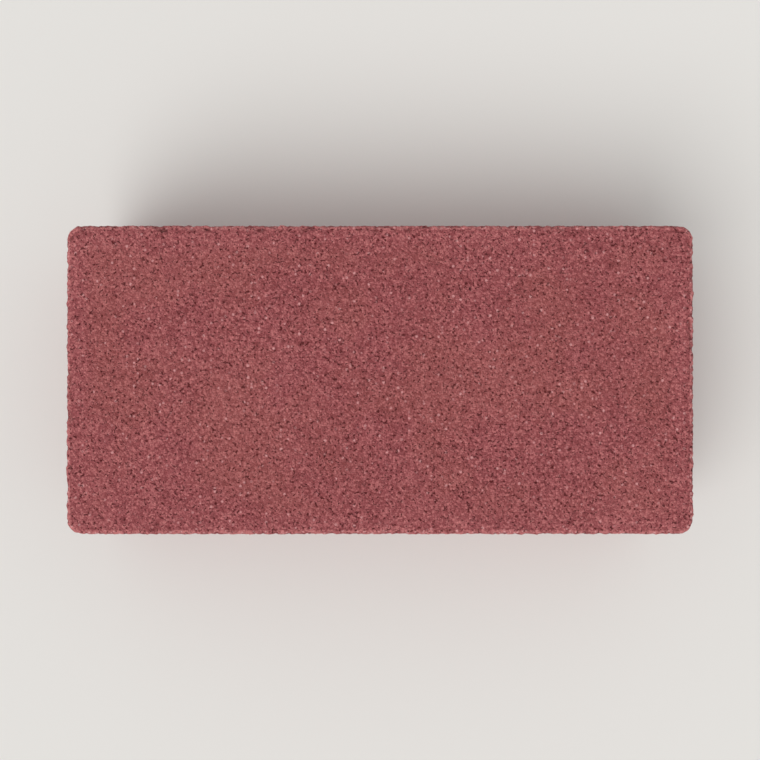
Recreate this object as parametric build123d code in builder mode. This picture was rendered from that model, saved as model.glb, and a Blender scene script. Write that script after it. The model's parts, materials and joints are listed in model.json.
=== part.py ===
from build123d import *

import os

# A rectangular concrete paving stone, cast and pressed in one piece, lying as it is laid.
# All sizes are in millimetres. The origin is the middle of the underside, X runs along the
# stone and Z points up through the wearing face.

# The laid module: the rectangle of paving that one stone and its half joints fill.
module_length = 200.0
module_width = 100.0
joint_width = 3.0

# The pressed block.
stone_height = 60.0
corner_radius = 5.0  # upright corners, seen from above
arris_radius = 1.5  # rounding round the wearing face, which has no bevel

# The upright spacer ribs, which meet the next stones' ribs in the middle of the joint.
ribs_per_long_side = 2
rib_width = 5.0  # along the flat outer face
rib_flank = 2.0  # how far each sloped side runs out along the wall
rib_drop = 10.0  # from the wearing face down to where a rib begins
rib_lead_in = 5.0  # height over which a rib's sloped top comes out to full depth
rib_edge_radius = 0.6

# Worked out from the sizes above.
stone_length = module_length - joint_width
stone_width = module_width - joint_width
rib_depth = joint_width / 2
rib_height = stone_height - rib_drop
rib_pitch = module_length / ribs_per_long_side


def rib_planes():
    """The foot of each rib: a plane on its wall with X along the wall, Y up and Z outwards."""
    planes = []
    for side in (-1, 1):
        for index in range(ribs_per_long_side):
            along = (index - (ribs_per_long_side - 1) / 2) * rib_pitch
            foot = (along, side * stone_width / 2, 0)
            planes.append(Plane(foot, x_dir=(-side, 0, 0), z_dir=(0, side, 0)))
        foot = (side * stone_length / 2, 0, 0)
        planes.append(Plane(foot, x_dir=(0, side, 0), z_dir=(side, 0, 0)))
    return planes


with BuildPart() as paving_stone:
    # The block, pressed to its height between plain mould walls.
    with BuildSketch():
        RectangleRounded(stone_length, stone_width, corner_radius)
    extrude(amount=stone_height)
    wearing_face = faces().sort_by(Axis.Z)[-1]
    fillet(wearing_face.edges(), arris_radius)

    # Each rib tapers from the wall to its flat outer face, and runs down to the underside,
    # because the mould lifts off upwards and leaves nothing below a rib.
    for plane in rib_planes():
        with BuildSketch(plane):
            Rectangle(rib_width + 2 * rib_flank, rib_height, align=(Align.CENTER, Align.MIN))
        with BuildSketch(plane.offset(rib_depth)):
            Rectangle(rib_width, rib_height - rib_lead_in, align=(Align.CENTER, Align.MIN))
        loft()

    # The outer faces of the ribs lie furthest out each way. Their edges are rounded, apart
    # from the ones at the underside.
    outer_faces = ShapeList()
    for axis in (Axis.X, Axis.Y):
        by_place = faces().group_by(axis)
        outer_faces += by_place[0] + by_place[-1]
    underside_edges = edges().group_by(Axis.Z)[0]
    fillet(outer_faces.edges() - underside_edges, rib_edge_radius)

paving_stone.part.label = "paving_stone"

os.makedirs("parts", exist_ok=True)
export_step(paving_stone.part, "parts/paving_stone.step")
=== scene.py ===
import json
import math

import bmesh
import bpy
import numpy as np
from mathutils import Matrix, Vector

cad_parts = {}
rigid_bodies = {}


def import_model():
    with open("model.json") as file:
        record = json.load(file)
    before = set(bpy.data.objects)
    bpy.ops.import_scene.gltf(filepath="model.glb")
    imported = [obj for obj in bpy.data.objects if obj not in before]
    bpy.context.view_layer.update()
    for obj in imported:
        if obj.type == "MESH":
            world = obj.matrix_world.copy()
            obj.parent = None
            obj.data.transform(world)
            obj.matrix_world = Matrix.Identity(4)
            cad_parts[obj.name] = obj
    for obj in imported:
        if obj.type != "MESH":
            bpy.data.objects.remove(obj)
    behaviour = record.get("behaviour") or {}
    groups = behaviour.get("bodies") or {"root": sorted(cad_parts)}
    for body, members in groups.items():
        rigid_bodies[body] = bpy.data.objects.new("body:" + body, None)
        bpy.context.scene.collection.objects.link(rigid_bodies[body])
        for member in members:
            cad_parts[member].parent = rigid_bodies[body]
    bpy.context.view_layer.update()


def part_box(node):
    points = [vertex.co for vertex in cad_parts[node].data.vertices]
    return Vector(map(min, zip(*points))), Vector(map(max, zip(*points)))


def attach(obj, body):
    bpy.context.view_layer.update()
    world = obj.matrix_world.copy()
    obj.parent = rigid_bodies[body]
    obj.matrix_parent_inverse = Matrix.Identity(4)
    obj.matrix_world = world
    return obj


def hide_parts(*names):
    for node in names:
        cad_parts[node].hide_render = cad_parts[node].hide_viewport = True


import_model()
low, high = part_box("paving_stone")
mm = 0.001

# The stone is one piece of pressed concrete. It is blocked out at the frame's size, remeshed
# finely, roughened without leaving its box, and thinned again to what a piece may have. Sizes
# are in millimetres.
stone = {
    "ribDepth": 1.5,  # the walls lie this far inside the box, and the ribs reach out to it
    "cornerRadius": 5.0,
    "cornerSteps": 12,
    "arrisRadius": 1.5,
    "arrisSteps": 6,
    "footRounding": 0.9,  # the lower edges come crumbly out of the mould
    "footSteps": 3,
    "ribWidth": 5.0,
    "ribFlank": 2.0,
    "ribDrop": 10.0,
    "ribLeadIn": 5.0,
    "ribEdge": 0.3,  # how far in the rounding of a rib's blunt edges starts
    "ribEdgeSteps": 3,
    "ribPitch": 100.0,
    "ribRoot": 3.0,  # how deep a rib is let into the block before the two are merged
    "voxel": 0.42,
    "foldAngle": 100,  # sharper than this, in degrees, the roughness has folded over itself
    "unfoldRounds": 2,
    "triangles": 195000,
}


def linear(hexColour):
    # sRGB hex to the linear colour that a shader takes
    parts = [int(hexColour[i:i + 2], 16) / 255 for i in (1, 3, 5)]
    return [c / 12.92 if c <= 0.04045 else ((c + 0.055) / 1.055) ** 2.4 for c in parts] + [1]


def addNode(tree, kind, inputs=None, **settings):
    # one node with its settings, and for each input a value, or the node or socket that feeds it
    node = tree.nodes.new("ShaderNode" + kind)
    for name, value in settings.items():
        setattr(node, name, value)
    for name, value in (inputs or {}).items():
        if isinstance(value, bpy.types.Node):
            value = value.outputs[0]
        if isinstance(value, bpy.types.NodeSocket):
            tree.links.new(value, node.inputs[name])
        else:
            node.inputs[name].default_value = value
    return node


def onlyActive(piece):
    bpy.ops.object.select_all(action="DESELECT")
    piece.select_set(True)
    bpy.context.view_layer.objects.active = piece


def addBox(name, lowest, highest):
    middle = (lowest + highest) / 2
    bpy.ops.mesh.primitive_cube_add(size=1, location=middle, scale=highest - lowest)
    box = bpy.context.object
    box.name = name
    bpy.ops.object.transform_apply(location=True, rotation=True, scale=True)
    return box


def pick(kind, test):
    # selects the faces or edges of the mesh in edit mode that pass the test, and counts them
    bpy.ops.mesh.select_mode(type=kind)
    bpy.ops.mesh.select_all(action="DESELECT")
    mesh = bmesh.from_edit_mesh(bpy.context.edit_object.data)
    chosen = [item for item in (mesh.faces if kind == "FACE" else mesh.edges) if test(item)]
    for item in chosen:
        item.select_set(True)
    bmesh.update_edit_mesh(bpy.context.edit_object.data)
    return len(chosen)


def allAt(item, axis, place):
    near = 0.01 * mm
    return all(abs(vert.co[axis] - place) < near for vert in item.verts)


def makeBlock():
    inset = Vector((1, 1, 0)) * stone["ribDepth"] * mm
    block = addBox("pressedStone", low + inset, high - inset)
    bpy.ops.object.mode_set(mode="EDIT")
    pick("EDGE", lambda edge: abs(edge.verts[0].co.z - edge.verts[1].co.z) > mm)  # upright
    bpy.ops.mesh.bevel(offset=stone["cornerRadius"] * mm, segments=stone["cornerSteps"])
    pick("EDGE", lambda edge: allAt(edge, 2, high.z))
    bpy.ops.mesh.bevel(offset=stone["arrisRadius"] * mm, segments=stone["arrisSteps"])
    pick("EDGE", lambda edge: allAt(edge, 2, low.z))
    bpy.ops.mesh.bevel(offset=stone["footRounding"] * mm, segments=stone["footSteps"])
    bpy.ops.object.mode_set(mode="OBJECT")
    return block


def makeRib():
    # one rib as it stands on a wall through the origin that faces -Y
    half = (stone["ribWidth"] / 2 + stone["ribFlank"]) * mm
    top = high.z - stone["ribDrop"] * mm
    out = -stone["ribDepth"] * mm
    rib = addBox("rib", Vector((-half, out, 0)), Vector((half, 0, top)))
    bpy.ops.object.mode_set(mode="EDIT")
    pick("FACE", lambda face: allAt(face, 1, out))
    narrowed = (stone["ribWidth"] / 2 * mm / half, 1, 1 - stone["ribLeadIn"] * mm / top)
    bpy.ops.transform.resize(value=narrowed, center_override=(0, out, 0))
    pick("EDGE", lambda edge: allAt(edge, 1, out) and not allAt(edge, 2, 0))
    bpy.ops.mesh.bevel(offset=stone["ribEdge"] * mm, segments=stone["ribEdgeSteps"])
    pick("EDGE", lambda edge: allAt(edge, 2, 0) and not allAt(edge, 1, 0))
    bpy.ops.mesh.bevel(offset=stone["footRounding"] * mm, segments=stone["footSteps"])
    pick("FACE", lambda face: allAt(face, 1, 0))
    bpy.ops.mesh.extrude_region_move(
        TRANSFORM_OT_translate={"value": (0, stone["ribRoot"] * mm, 0)}
    )
    bpy.ops.object.mode_set(mode="OBJECT")
    return rib


def placeRibs(rib):
    # two ribs on each long wall, one on each end
    alongX, alongY = high.x - stone["ribDepth"] * mm, high.y - stone["ribDepth"] * mm
    half = stone["ribPitch"] / 2 * mm
    feet = [(-half, -alongY, 0), (half, -alongY, 0), (alongX, 0, 90)]
    feet += [(half, alongY, 180), (-half, alongY, 180), (-alongX, 0, 270)]
    copies = []
    for x, y, turn in feet:
        copy = rib.copy()
        copy.data = rib.data.copy()
        bpy.context.collection.objects.link(copy)
        copy.location = (x, y, 0)
        copy.rotation_euler.z = math.radians(turn)
        onlyActive(copy)
        bpy.ops.object.transform_apply(location=True, rotation=True, scale=True)
        copies.append(copy)
    bpy.data.objects.remove(rib)
    return copies


def mergeAndRemesh(block, ribs):
    onlyActive(block)
    for rib in ribs:
        rib.select_set(True)
    bpy.ops.object.join()
    block.data.remesh_voxel_size = stone["voxel"] * mm
    block.data.remesh_voxel_adaptivity = 0
    bpy.ops.object.voxel_remesh()


# Where each side of the stone lies on its own map, a square sheet. right and up are seen from
# outside, place is the corner in millimetres, and the underside is drawn smaller.
mapSheet = 286
mapIslands = {
    "frontWall": {"normal": (0, -1, 0), "right": (0, 0, -1), "up": (1, 0, 0), "place": (1, 2)},
    "backWall": {"normal": (0, 1, 0), "right": (0, 0, -1), "up": (-1, 0, 0), "place": (63, 2)},
    "wearingFace": {"normal": (0, 0, 1), "right": (0, -1, 0), "up": (1, 0, 0), "place": (125, 2)},
    "leftWall": {"normal": (-1, 0, 0), "right": (0, 0, -1), "up": (0, -1, 0), "place": (224, 2)},
    "rightWall": {"normal": (1, 0, 0), "right": (0, 0, -1), "up": (0, 1, 0), "place": (224, 104)},
    "underside": {
        "normal": (0, 0, -1), "right": (1, 0, 0), "up": (0, -1, 0), "place": (1, 206), "drawn": 0.7,
    },
}


def readMesh(piece):
    mesh = piece.data
    places = np.empty(len(mesh.vertices) * 3, np.float32)
    mesh.vertices.foreach_get("co", places)
    normals = np.empty(len(mesh.vertices) * 3, np.float32)
    mesh.vertex_normals.foreach_get("vector", normals)
    return places.reshape(-1, 3), normals.reshape(-1, 3)


def layOutMap(piece):
    mesh = piece.data
    places, _ = readMesh(piece)
    normals = np.empty(len(mesh.polygons) * 3, np.float32)
    mesh.polygon_normals.foreach_get("vector", normals)
    corners = np.empty(len(mesh.polygons), np.int32)
    mesh.polygons.foreach_get("loop_total", corners)
    verts = np.empty(len(mesh.loops), np.int32)
    mesh.loops.foreach_get("vertex_index", verts)
    islands = list(mapIslands.values())
    facing = normals.reshape(-1, 3) @ np.array([island["normal"] for island in islands]).T
    island = np.repeat(facing.argmax(1), corners)
    spots = np.zeros((len(verts), 2))
    for i, side in enumerate(islands):
        mine = island == i
        flat = places[verts[mine]] @ np.array([side["right"], side["up"]]).T / mm
        flat = (flat - flat.min(0)) * side.get("drawn", 1) + side["place"]
        spots[mine] = flat / mapSheet
    layer = mesh.uv_layers.new(name="OFBake")
    layer.data.foreach_set("uv", spots.astype(np.float32).ravel())


# Where each kind of roughness and wear begins and where it is full. The flat sides and the
# walls go by how squarely they face up or down, all else by a distance in millimetres.
fades = {
    "flatSides": (0.5, 0.95),
    "walls": (0.85, 0.4),
    "openWalls": (2, 14),  # down from the top, which the press packs, so that it has fewer voids
    "corners": (0.5, 2.5),
    "ribs": (0.3, 1.0),
    "arris": (3.0, 0.8),
    "foot": (4.5, 1.0),
    "arrisKnocks": (2.0, 1.0),
    "ribKnocks": (0.8, 1.3),
    "margin": (11, 3),
}
# how much smoother the mould leaves its corners and ribs, and how much less a rib is knocked
# than the arris
spared = {"wallCorners": 0.7, "arrisCorners": 0.8, "ribs": 0.75, "ribKnocks": 0.3}


def fade(kind, values, unit=mm):
    # 0 where it begins and 1 where it is full, with soft ends
    start, end = (place * unit for place in fades[kind])
    share = np.clip((values - start) / (end - start), 0, 1)
    return share * share * (3 - 2 * share)


def weigh(piece):
    # how much each place on the stone takes of each kind of roughness and wear
    places, normals = readMesh(piece)
    x, y, z = places.T
    radius = stone["cornerRadius"] * mm
    reach = Vector((high.x, high.y)) - Vector((1, 1)) * stone["ribDepth"] * mm
    overX = np.maximum(abs(x) - reach.x + radius, 0)
    overY = np.maximum(abs(y) - reach.y + radius, 0)
    beyond = np.minimum(np.maximum(abs(x) - reach.x, abs(y) - reach.y) + radius, 0)
    fromWall = np.hypot(overX, overY) + beyond - radius  # below 0 inside the walls
    besideArris = np.hypot(fromWall, z - high.z)
    besideFoot = np.hypot(fromWall, z - low.z)
    atCorner = fade("corners", np.minimum(overX, overY))
    up = normals[:, 2]
    walls = fade("walls", abs(up), 1) * (1 - spared["wallCorners"] * atCorner)
    walls *= 1 - spared["ribs"] * fade("ribs", fromWall)
    arris = fade("arris", besideArris) * (1 - spared["arrisCorners"] * atCorner)
    ribKnocks = (1 - spared["ribKnocks"]) * fade("ribKnocks", fromWall)
    return {
        "wearingFace": fade("flatSides", up, 1),
        "underside": fade("flatSides", -up, 1),
        "walls": walls,
        "openWalls": walls * fade("openWalls", high.z - z),
        "arris": arris,
        "foot": fade("foot", besideFoot),
        "rubbed": np.maximum(fade("arrisKnocks", besideArris), ribKnocks),
        "margin": fade("margin", besideArris),
    }


# The roughness, coarse before fine. size is the grain's width and depth how far it goes in,
# both in millimetres. part is the share of the noise's range that makes the slope, detail
# frays its outline, and stretch is how many times longer it is from top to bottom.
relief = {
    "swell": {"group": "wearingFace", "size": 28, "depth": 0.15, "part": (0.3, 0.7)},
    "footBreaks": {"group": "foot", "size": 5.0, "depth": 0.9, "part": (0.28, 0.42), "detail": 2},
    "chips": {"group": "arris", "size": 5.0, "depth": 0.9, "part": (0.30, 0.39), "detail": 2},
    "nibbles": {"group": "arris", "size": 2.4, "depth": 0.85, "part": (0.33, 0.43), "detail": 2},
    "crumbs": {"group": "arris", "size": 1.5, "depth": 0.4, "part": (0.3, 0.7)},
    "wallVoids": {"group": "openWalls", "size": 3.6, "depth": 1.6, "part": (0.29, 0.38), "detail": 3},
    "wallPores": {"group": "walls", "size": 1.8, "depth": 0.8, "part": (0.29, 0.37), "detail": 2},
    "dragMarks": {"group": "walls", "size": 1.8, "depth": 0.4, "part": (0.25, 0.75), "stretch": 16},
    "wallSand": {"group": "walls", "size": 1.6, "depth": 0.35, "part": (0.3, 0.7)},
    "bedVoids": {"group": "underside", "size": 5.0, "depth": 1.3, "part": (0.30, 0.38), "detail": 3},
    "bedSand": {"group": "underside", "size": 2.0, "depth": 0.4, "part": (0.3, 0.7)},
    "pinholes": {"group": "wearingFace", "size": 2.2, "depth": 0.5, "part": (0.27, 0.34), "detail": 2},
    "faceSand": {"group": "wearingFace", "size": 1.5, "depth": 0.3, "part": (0.25, 0.75)},
}
centred = ("dragMarks", "wallSand")  # these stand out as much as they go in
alongZ = {"wearingFace": 1, "underside": -1}  # the flat sides are pushed straight in
weightSteps = 20  # a vertex group's weights are set step by step


def paintGroups(piece, weights):
    for name in dict.fromkeys(layer["group"] for layer in relief.values()):
        group = piece.vertex_groups.new(name=name)
        level = np.round(weights[name] * weightSteps).astype(int)
        for step in range(1, weightSteps + 1):
            group.add(np.flatnonzero(level == step).tolist(), step / weightSteps, "REPLACE")


def roughen(piece):
    stretched = bpy.data.objects.new("stretch", None)  # the drawn-out noise is laid out in it
    bpy.context.collection.objects.link(stretched)
    for name, layer in relief.items():
        noise = bpy.data.textures.new(name, "CLOUDS")
        noise.noise_basis = "IMPROVED_PERLIN"
        noise.noise_scale = layer["size"] * mm
        noise.noise_depth = layer.get("detail", 1)
        noise.use_color_ramp = True
        deep, level = noise.color_ramp.elements
        deep.position, level.position = layer["part"]
        deep.color, level.color = (0, 0, 0, 1), (1, 1, 1, 1)
        push = piece.modifiers.new(name, "DISPLACE")
        push.texture = noise
        push.vertex_group = layer["group"]
        push.direction = "Z" if layer["group"] in alongZ else "NORMAL"
        push.mid_level = 0.5 if name in centred else 1.0
        push.strength = layer["depth"] * mm * alongZ.get(layer["group"], 1)
        if "stretch" in layer:
            stretched.scale.z = layer["stretch"]
            push.texture_coords = "OBJECT"
            push.texture_coords_object = stretched
            bpy.context.view_layer.update()
        onlyActive(piece)
        bpy.ops.object.modifier_apply(modifier=name)
    bpy.data.objects.remove(stretched)


def unfold(piece):
    # where the roughness has folded the surface over itself, it is smoothed out again
    onlyActive(piece)
    bpy.ops.object.mode_set(mode="EDIT")
    sharpest = math.radians(stone["foldAngle"])
    folds = pick("EDGE", lambda edge: edge.calc_face_angle(0) > sharpest)
    bpy.ops.mesh.select_more()
    bpy.ops.mesh.vertices_smooth(factor=0.5, repeat=stone["unfoldRounds"])
    bpy.ops.object.mode_set(mode="OBJECT")
    print("folds smoothed:", folds)


def countTriangles(piece):
    return sum(len(face.vertices) - 2 for face in piece.data.polygons)


def thin(piece):
    # down to the triangles that a piece may have, with no quads left, because one that is split
    # later can end up back to back with its neighbour
    fewer = piece.modifiers.new("thin", "DECIMATE")
    fewer.use_collapse_triangulate = True
    fewer.ratio = stone["triangles"] / countTriangles(piece)
    bpy.ops.object.modifier_apply(modifier="thin")


def keepNumbers(piece, name, values):
    layer = piece.data.attributes.new(name, "FLOAT", "POINT")
    layer.data.foreach_set("value", values.astype(np.float32))


def takeNumbers(piece, name):
    layer = piece.data.attributes[name]
    values = np.empty(len(layer.data), np.float32)
    layer.data.foreach_get("value", values)
    piece.data.attributes.remove(layer)
    return values


def settle(piece):
    # keeps the roughness inside the box, and notes how far each point now is from the smooth
    # stone, for the painted shade in the holes
    places, _ = readMesh(piece)
    np.clip(places, list(low), list(high), out=places)
    piece.data.vertices.foreach_set("co", places.ravel())
    smooth = np.stack([takeNumbers(piece, "smooth" + axis) for axis in "XYZ"], axis=1)
    keepNumbers(piece, "sunk", np.linalg.norm(places - smooth, axis=1) / mm)
    piece.data.update()


def makeStone():
    block = makeBlock()
    ribs = placeRibs(makeRib())
    mergeAndRemesh(block, ribs)
    print("block and ribs merged:", len(block.data.polygons), "faces")
    layOutMap(block)
    weights = weigh(block)
    paintGroups(block, weights)
    keepNumbers(block, "wall", weights["walls"])
    keepNumbers(block, "rubbed", weights["rubbed"])
    keepNumbers(block, "margin", weights["margin"])
    smooth, _ = readMesh(block)
    for i, axis in enumerate("XYZ"):
        keepNumbers(block, "smooth" + axis, smooth[:, i])
    roughen(block)
    print("roughened")
    unfold(block)
    thin(block)
    settle(block)
    bpy.ops.object.shade_smooth()
    print("stone made:", countTriangles(block), "triangles")
    return block


# Semi-dry concrete, coloured through with iron oxide and pressed under vibration. It gives an
# even dull brick red, broken up by sand grains lighter and darker than the paste between
# them, a few bare grains and pinholes, and no shine. Pores and holes, and in part the low paste
# between the grains, are painted with the shade that falls in them. Sizes are in millimetres,
# and each shade is a share of the way from dark sand to pale.
concrete = {
    "darkSand": "#803A3D",
    "middleSand": "#A05558",
    "paleSand": "#C57776",
    "brownPaste": "#9B5A4A",
    "bareGrain": "#DA9999",
    # painted shade: the dark red of the shade inside pores and holes
    "paintedPoreShade": "#560F12",
    "sand": 0.66,
    "fineSand": 0.40,
    "pasteShade": -0.17,  # between the grains the paste is darker, by its own tone and by painted shade where it lies low
    "sandShade": 0.70,  # what a grain's own shade adds to that, at most
    "fineShade": 0.38,
    "moundShade": 0.28,  # and what its height adds, partly as painted shade
    "frayed": 0.3,  # the noise that roughens the grains' outlines, and how far it moves them
    "frayBy": 0.12,
    "mottle": 46,  # damp and pigment settle unevenly, in lightness and in hue
    "mottleBy": 0.05,
    "hueMottle": 24,
    "paleMargin": 0.03,  # fines that gather beside the mould's wall pale the face there
    "streak": 1.3,  # across a wall, and how many times that down it
    "streakStretch": 12,
    "streakBy": 0.13,
    "rubs": 3,
    "rubbed": 0.52,  # how much paler the rubbed places are
    "rubbedBare": 0.62,  # how many more grains are bare there
    "bareGrains": 1.15,
    "bareFinish": -0.25,  # bare grains are the smoothest, paste is dull, and pores are dullest
    "poreFinish": 0.1,
    "pores": 0.85,
    # how far the pores are painted with that shade
    "paintedPoreShadeBy": 0.85,
    "specular": 0.3,  # dusty pores break up the sheen of the grains
    "grainHeight": 0.3,
    "fineHeight": 0.45,  # shares of that
    "poreHeight": -1.2,
}

# Where in the numbers of its noise, cell or attribute each of these begins and is full, and
# what it gives there, if not 0 and 1.
spans = {
    "grain": {"From Min": 0.75, "From Max": 0.1},  # from a grain's rim to its top
    "noise": {"From Min": 0.3, "From Max": 0.7},
    "wear": {"From Min": 0.4, "From Max": 1.0},
    "stripped": {"From Min": 0.7, "From Max": 1.0},
    "rubs": {"From Min": 0.35, "From Max": 0.6, "To Min": 0.3, "To Max": 1.0},
    "brown": {"From Min": 0.38, "From Max": 0.62, "To Min": 0.0, "To Max": 0.16},
    "bareLot": {"From Min": 0.88, "From Max": 1.0, "To Min": 0.0, "To Max": 0.85},
    "bareGrain": {"From Min": 0.5, "From Max": 0.25},
    "pores": {"From Min": 0.39, "From Max": 0.32},
    # the painted shade in the holes, from how deep they are sunk in millimetres
    "paintedHoleShade": {"From Min": 0.5, "From Max": 1.4, "To Min": 0.0, "To Max": 0.52},
    "finish": {"From Min": 0.0, "From Max": 1.0, "To Min": 0.86, "To Max": 0.96},
}


def scaleFor(size):
    # a texture's scale on coordinates in metres, from the width of its grain in millimetres
    return 1 / (size * mm)


def makeConcrete():
    material = bpy.data.materials.new("pressedRedConcrete")
    material.use_nodes = True
    tree = material.node_tree
    shader = tree.nodes["Principled BSDF"]
    soft = {"interpolation_type": "SMOOTHSTEP"}
    scale = {name: scaleFor(concrete[name]) for name in (
        "sand", "fineSand", "frayed", "mottle", "hueMottle", "streak", "rubs", "bareGrains", "pores",
    )}
    place = addNode(tree, "TexCoord").outputs["Object"]

    # the grains' outlines are frayed by a finer noise, which is centred first and so goes only
    # half its range each way
    fray = addNode(tree, "TexNoise", {"Vector": place, "Scale": scale["frayed"], "Detail": 1.0})
    centre = (0.5, 0.5, 0.5)
    fray = addNode(tree, "VectorMath", {0: fray.outputs["Color"], 1: centre}, operation="SUBTRACT")
    frayBy = [concrete["frayBy"] * mm * 2] * 3
    frayed = addNode(tree, "VectorMath", {0: fray, 1: frayBy, 2: place}, operation="MULTIPLY_ADD")

    # each grain has its own shade, from two sizes of sand
    sand = addNode(tree, "TexVoronoi", {"Vector": frayed, "Scale": scale["sand"]})
    fineSand = addNode(tree, "TexVoronoi", {"Vector": frayed, "Scale": scale["fineSand"]})
    sandLot = addNode(tree, "SeparateColor", {"Color": sand.outputs["Color"]})
    fineLot = addNode(tree, "SeparateColor", {"Color": fineSand.outputs["Color"]})
    shade = addNode(tree, "Math", {
        0: sandLot, 1: concrete["sandShade"], 2: concrete["pasteShade"],
    }, operation="MULTIPLY_ADD")
    shade = addNode(tree, "Math", {
        0: fineLot, 1: concrete["fineShade"], 2: shade,
    }, operation="MULTIPLY_ADD")
    mound = addNode(tree, "MapRange", {"Value": sand, **spans["grain"]}, **soft)
    fineMound = addNode(tree, "MapRange", {"Value": fineSand, **spans["grain"]}, **soft)
    # grain tops paler and the low paste round them darker, partly with painted shade
    shade = addNode(tree, "Math", {0: mound, 1: concrete["moundShade"], 2: shade}, operation="MULTIPLY_ADD")

    # slow changes in lightness over the stone, and its paler margin
    mottle = addNode(tree, "TexNoise", {"Vector": place, "Scale": scale["mottle"], "Detail": 2.0})
    mottle = addNode(tree, "MapRange", {
        "Value": mottle, **spans["noise"],
        "To Min": -concrete["mottleBy"], "To Max": concrete["mottleBy"],
    }, **soft)
    shade = addNode(tree, "Math", {0: shade, 1: mottle}, operation="ADD")
    margin = addNode(tree, "Attribute", attribute_name="margin").outputs["Fac"]
    shade = addNode(tree, "Math", {
        0: margin, 1: concrete["paleMargin"], 2: shade,
    }, operation="MULTIPLY_ADD")

    # the mould has dragged the paste down the walls in streaks
    wall = addNode(tree, "Attribute", attribute_name="wall").outputs["Fac"]
    squeezed = (1, 1, 1 / concrete["streakStretch"])
    down = addNode(tree, "VectorMath", {0: place, 1: squeezed}, operation="MULTIPLY")
    streak = addNode(tree, "TexNoise", {"Vector": down, "Scale": scale["streak"], "Detail": 2.0})
    streak = addNode(tree, "MapRange", {
        "Value": streak, **spans["noise"],
        "To Min": -concrete["streakBy"], "To Max": concrete["streakBy"],
    }, **soft)
    shade = addNode(tree, "Math", {0: wall, 1: streak, 2: shade}, operation="MULTIPLY_ADD")

    # the arris and the ribs knock against other stones, in patches, which pales their grains,
    # and along the arris it strips some of them bare
    rubbed = addNode(tree, "Attribute", attribute_name="rubbed").outputs["Fac"]
    wear = addNode(tree, "MapRange", {"Value": rubbed, **spans["wear"]}, **soft)
    stripped = addNode(tree, "MapRange", {"Value": rubbed, **spans["stripped"]}, **soft)
    rubs = addNode(tree, "TexNoise", {"Vector": place, "Scale": scale["rubs"], "Detail": 2.0})
    rubs = addNode(tree, "MapRange", {"Value": rubs, **spans["rubs"]}, **soft)
    wear = addNode(tree, "Math", {0: wear, 1: rubs}, operation="MULTIPLY")
    shade = addNode(tree, "Math", {0: wear, 1: concrete["rubbed"], 2: shade}, operation="MULTIPLY_ADD")
    colour = addNode(tree, "ValToRGB", {"Fac": shade})
    colour.color_ramp.elements.new(0.5)
    for stop, name in zip(colour.color_ramp.elements, ("darkSand", "middleSand", "paleSand")):
        stop.color = linear(concrete[name])

    # here and there the paste is browner, but not beside the arris
    brown = addNode(tree, "TexNoise", {"Vector": place, "Scale": scale["hueMottle"], "Detail": 3.0})
    brown = addNode(tree, "MapRange", {"Value": brown, **spans["brown"]}, **soft)
    inside = addNode(tree, "Math", {0: 1.0, 1: margin}, operation="SUBTRACT")
    brown = addNode(tree, "Math", {0: brown, 1: inside}, operation="MULTIPLY")
    paste = linear(concrete["brownPaste"])
    colour = addNode(tree, "Mix", {0: brown, 6: colour, 7: paste}, data_type="RGBA").outputs[2]

    # a few grains of bare stone, more of them where the stone is rubbed
    bare = addNode(tree, "TexVoronoi", {"Vector": frayed, "Scale": scale["bareGrains"]})
    bareLot = addNode(tree, "SeparateColor", {"Color": bare.outputs["Color"]})
    stripped = addNode(tree, "Math", {0: stripped, 1: rubs}, operation="MULTIPLY")
    bareLot = addNode(tree, "Math", {
        0: stripped, 1: concrete["rubbedBare"], 2: bareLot,
    }, operation="MULTIPLY_ADD")
    isBare = addNode(tree, "MapRange", {"Value": bareLot, **spans["bareLot"]}, **soft)
    inGrain = addNode(tree, "MapRange", {"Value": bare, **spans["bareGrain"]}, **soft)
    isBare = addNode(tree, "Math", {0: isBare, 1: inGrain}, operation="MULTIPLY")
    grain = linear(concrete["bareGrain"])
    colour = addNode(tree, "Mix", {0: isBare, 6: colour, 7: grain}, data_type="RGBA").outputs[2]

    # painted shade: pores between the grains and the bottoms of the mesh's holes take a dark red
    pores = addNode(tree, "TexNoise", {"Vector": place, "Scale": scale["pores"], "Detail": 2.0})
    pores = addNode(tree, "MapRange", {"Value": pores, **spans["pores"]}, **soft)
    sunk = addNode(tree, "Attribute", attribute_name="sunk").outputs["Fac"]
    paintedHoleShade = addNode(tree, "MapRange", {"Value": sunk, **spans["paintedHoleShade"]}, **soft)
    # the painted shade is full in the deepest holes and strong in the pores
    paintedShade = addNode(tree, "Math", {0: pores, 1: concrete["paintedPoreShadeBy"]}, operation="MULTIPLY")
    paintedShade = addNode(tree, "Math", {0: paintedShade, 1: paintedHoleShade}, operation="MAXIMUM")
    paintedPoreShade = linear(concrete["paintedPoreShade"])
    colour = addNode(tree, "Mix", {0: paintedShade, 6: colour, 7: paintedPoreShade}, data_type="RGBA").outputs[2]

    # how dull each grain, bare grain and pore is
    finish = addNode(tree, "MapRange", {"Value": sandLot.outputs["Blue"], **spans["finish"]})
    finish = addNode(tree, "Math", {
        0: isBare, 1: concrete["bareFinish"], 2: finish,
    }, operation="MULTIPLY_ADD")
    finish = addNode(tree, "Math", {
        0: pores, 1: concrete["poreFinish"], 2: finish,
    }, operation="MULTIPLY_ADD", use_clamp=True)

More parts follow.
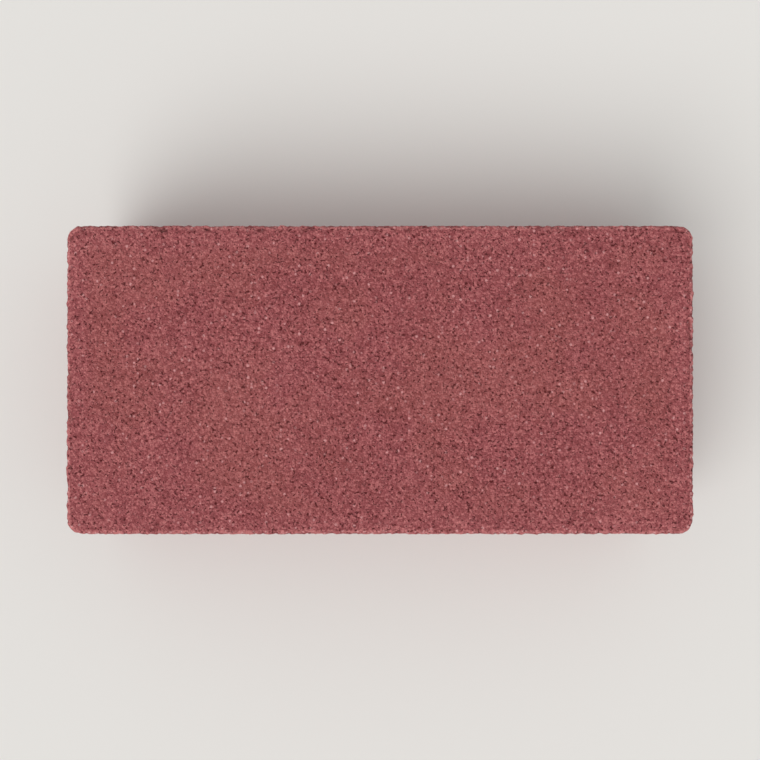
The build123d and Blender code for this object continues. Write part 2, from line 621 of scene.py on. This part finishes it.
    # the grains stand up by their own amounts, and pores go in
    height = addNode(tree, "Math", {0: mound, 1: sandLot.outputs["Green"]}, operation="MULTIPLY")
    height = addNode(tree, "Math", {
        0: fineMound, 1: concrete["fineHeight"], 2: height,
    }, operation="MULTIPLY_ADD")
    height = addNode(tree, "Math", {
        0: pores, 1: concrete["poreHeight"], 2: height,
    }, operation="MULTIPLY_ADD")
    bump = addNode(tree, "Bump", {"Height": height, "Distance": concrete["grainHeight"] * mm})

    tree.links.new(colour, shader.inputs["Base Color"])
    tree.links.new(finish.outputs[0], shader.inputs["Roughness"])
    tree.links.new(bump.outputs[0], shader.inputs["Normal"])
    shader.inputs["Specular IOR Level"].default_value = concrete["specular"]
    return material


# A plain pale floor and soft light from all round, with a little more from one side. Lens
# and film are in millimetres, other lengths in metres and angles in degrees.
studio = {
    "floor": "#E4E2DE",
    "floorWidth": 6.0,
    "floorRoughness": 0.9,
    "sky": 0.6,
    "key": 1.55,
    "keyPlace": (-0.5, -0.5, 1),
    "keyWidth": 45,
    "keyTilt": 36,
    "keyTurn": -35,
    "lens": 60,
    "film": 36,
    "stoneShare": 0.84,  # of the picture's width
    "nearest": 0.01,
}


def makeStudio():
    bpy.ops.mesh.primitive_plane_add(size=studio["floorWidth"], location=(0, 0, low.z))
    floor = bpy.context.object
    floor.name = "floor"
    material = bpy.data.materials.new("paleFloor")
    material.use_nodes = True
    shader = material.node_tree.nodes["Principled BSDF"]
    shader.inputs["Base Color"].default_value = linear(studio["floor"])
    shader.inputs["Roughness"].default_value = studio["floorRoughness"]
    floor.data.materials.append(material)

    world = bpy.data.worlds.new("softRoom")
    bpy.context.scene.world = world
    world.use_nodes = True
    tree = world.node_tree
    tree.nodes.clear()
    # the camera, and whatever mirrors or passes light, sees a pale backdrop
    path = addNode(tree, "LightPath")
    seen = addNode(tree, "Math", {
        0: path.outputs["Is Glossy Ray"], 1: path.outputs["Is Transmission Ray"],
    }, operation="MAXIMUM")
    seen = addNode(tree, "Math", {0: path.outputs["Is Camera Ray"], 1: seen}, operation="MAXIMUM")
    sky = addNode(tree, "Background", {"Color": (1, 1, 1, 1), "Strength": studio["sky"]})
    backdrop = addNode(tree, "Background", {"Color": linear(studio["floor"]), "Strength": 1.0})
    room = addNode(tree, "MixShader", {0: seen, 1: sky, 2: backdrop})
    addNode(tree, "OutputWorld", {"Surface": room})

    bpy.ops.object.light_add(type="SUN", location=studio["keyPlace"])
    key = bpy.context.object
    key.name = "keyLight"
    key.data.energy = studio["key"]
    key.data.angle = math.radians(studio["keyWidth"])
    key.rotation_euler = (math.radians(studio["keyTilt"]), 0, math.radians(studio["keyTurn"]))


def makeCamera():
    # straight above, as in the photograph, with the stone's length across the picture
    bpy.ops.object.camera_add()
    camera = bpy.context.object
    camera.data.lens = studio["lens"]
    camera.data.sensor_width = studio["film"]
    camera.data.clip_start = studio["nearest"]
    pictureWidth = (high.x - low.x) / studio["stoneShare"]
    camera.location = (0, 0, high.z + pictureWidth / 2 / math.tan(camera.data.angle / 2))
    bpy.context.scene.camera = camera


pressedStone = makeStone()
pressedStone.data.materials.clear()
pressedStone.data.materials.append(makeConcrete())
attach(pressedStone, "root")
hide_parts("paving_stone")
print("stone dressed")

makeStudio()
makeCamera()
bpy.context.scene.view_settings.view_transform = "Standard"
print("studio and camera set")
